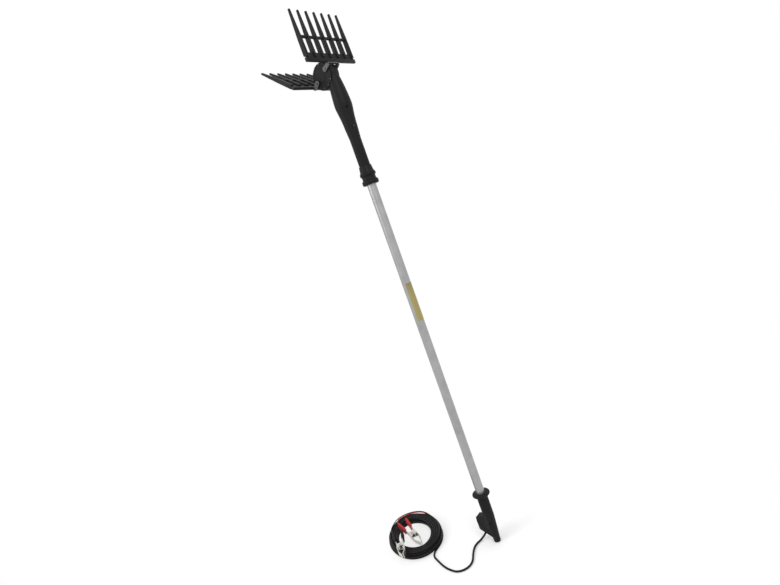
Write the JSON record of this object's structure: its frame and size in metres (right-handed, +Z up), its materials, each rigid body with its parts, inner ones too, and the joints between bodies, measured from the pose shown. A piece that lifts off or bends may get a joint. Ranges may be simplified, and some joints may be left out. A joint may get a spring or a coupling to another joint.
{
  "type": "electric olive harvester",
  "caption": "Long-pole electric olive harvester: two combs of plastic tines clap at the tip of an aluminium pole with a trigger handle, a cable coil and battery clamps.",
  "frame": {"origin": "middle of the round hand grip, on the pole's axis", "axes": "+Z up the pole to the head, -Y to the front where the trigger and the front rake are, X along the rake shafts"},
  "size_m": [0.3073, 0.4864, 1.8402],
  "materials": {
    "pole_aluminium": "satin",
    "label_film": "satin",
    "black_plastic": "fine grain",
    "tine_plastic": "fine grain",
    "cable_rubber": "satin",
    "black_rubber": "matt",
    "red_plastic": "satin",
    "yoke_metal": "cast, dark coat",
    "bright_steel": "bright",
    "dark_steel": "oiled",
    "bronze": "plain"
  },
  "bodies": {
    "pole": {"pole_tube": "pole_aluminium", "pole_label": "label_film", "pole_wiring": "cable_rubber", "handle_left": "black_plastic", "handle_right": "black_plastic", "handle_screws": "dark_steel", "hand_flange": "black_plastic", "butt_cap": "black_rubber", "cable_gland": "black_rubber", "trigger_pin": "bright_steel", "trigger_spring": "dark_steel", "switch_body": "black_plastic", "head_shell_left": "black_plastic", "head_shell_right": "black_plastic", "shell_screws": "dark_steel", "gear_cover": "black_plastic", "cover_screws": "dark_steel", "neck_collar": "black_plastic", "motor_can": "dark_steel", "motor_magnets": "dark_steel", "motor_end_bell": "black_plastic", "worm_bearing": "bronze", "wheel_axle": "bright_steel", "shaft_bushes": "bronze", "supply_cable": "cable_rubber", "cable_coil": "cable_rubber", "end_sleeve": "cable_rubber", "red_lead": "red_plastic", "black_lead": "cable_rubber", "red_fixed_jaw": "bright_steel", "red_fixed_boot": "red_plastic", "red_rivet": "bright_steel", "red_spring": "dark_steel", "black_fixed_jaw": "bright_steel", "black_fixed_boot": "black_plastic", "black_rivet": "bright_steel", "black_spring": "dark_steel"},
    "motor_rotor": {"motor_shaft": "bright_steel", "motor_armature": "bronze", "worm": "bright_steel"},
    "crank_wheel": {"worm_wheel": "bronze"},
    "rear_rake": {"rear_shaft": "dark_steel", "rear_lever_arm": "dark_steel", "rear_yoke": "yoke_metal", "rear_yoke_screws": "dark_steel", "rear_comb": "tine_plastic"},
    "front_rake": {"front_shaft": "dark_steel", "front_lever_arm": "dark_steel", "front_yoke": "yoke_metal", "front_yoke_screws": "dark_steel", "front_comb": "tine_plastic"},
    "rear_link": {"rear_rod": "dark_steel"},
    "front_link": {"front_rod": "dark_steel"},
    "trigger": {"trigger": "black_plastic"},
    "switch_plunger": {"switch_button": "red_plastic"},
    "red_jaw": {"red_moving_jaw": "bright_steel", "red_moving_boot": "red_plastic"},
    "black_jaw": {"black_moving_jaw": "bright_steel", "black_moving_boot": "black_plastic"}
  },
  "joints": [
    {"name": "motor_spin", "type": "hinge", "parent": "pole", "child": "motor_rotor", "pos_m": [0, 0, 1.4], "axis": [0, 0, 1], "continuous": true},
    {"name": "wheel_spin", "type": "hinge", "parent": "pole", "child": "crank_wheel", "pos_m": [0, -0.024, 1.5], "axis": [1, 0, 0], "continuous": true},
    {"name": "rear_rake_swing", "type": "hinge", "parent": "pole", "child": "rear_rake", "pos_m": [0, -0.00263, 1.52562], "axis": [1, 0, 0], "range_deg": [0, 20]},
    {"name": "front_rake_swing", "type": "hinge", "parent": "pole", "child": "front_rake", "pos_m": [0, -0.05137, 1.50238], "axis": [1, 0, 0], "range_deg": [-20, 0]},
    {"name": "rear_rod_pivot", "type": "hinge", "parent": "rear_rake", "child": "rear_link", "pos_m": [0, -0.00605, 1.53796], "axis": [1, 0, 0], "range_deg": [-20, 0]},
    {"name": "front_rod_pivot", "type": "hinge", "parent": "front_rake", "child": "front_link", "pos_m": [0, -0.04556, 1.49423], "axis": [1, 0, 0], "range_deg": [0, 20]},
    {"name": "trigger_press", "type": "hinge", "parent": "pole", "child": "trigger", "pos_m": [0, -0.0405, -0.0855], "axis": [-1, 0, 0], "range_deg": [0, 8], "stiffness_Nm_per_rad": 1.2, "springref_deg": -5.73},
    {"name": "switch_slide", "type": "slide", "parent": "pole", "child": "switch_plunger", "axis": [0, 1, 0], "range_m": [0, 0.0026]},
    {"name": "red_clamp_squeeze", "type": "hinge", "parent": "pole", "child": "red_jaw", "pos_m": [0.0687, -0.3298, -0.1224], "axis": [0.0853, 0.1971, 0.9767], "range_deg": [0, 18], "stiffness_Nm_per_rad": 3, "springref_deg": -8.59},
    {"name": "black_clamp_squeeze", "type": "hinge", "parent": "pole", "child": "black_jaw", "pos_m": [0.155, -0.3185, -0.1046], "axis": [0, 0, 1], "range_deg": [0, 18], "stiffness_Nm_per_rad": 3, "springref_deg": -8.59}
  ],
  "couplings": [
    {"joint": "wheel_spin", "follows": "motor_spin", "ratio": -0.0625},
    {"joint": "front_rake_swing", "follows": "rear_rake_swing", "ratio": -1},
    {"joint": "rear_rod_pivot", "follows": "rear_rake_swing", "ratio": -1},
    {"joint": "front_rod_pivot", "follows": "rear_rake_swing", "ratio": 1},
    {"joint": "switch_slide", "follows": "trigger_press", "m_per_rad": 0.0179}
  ]
}
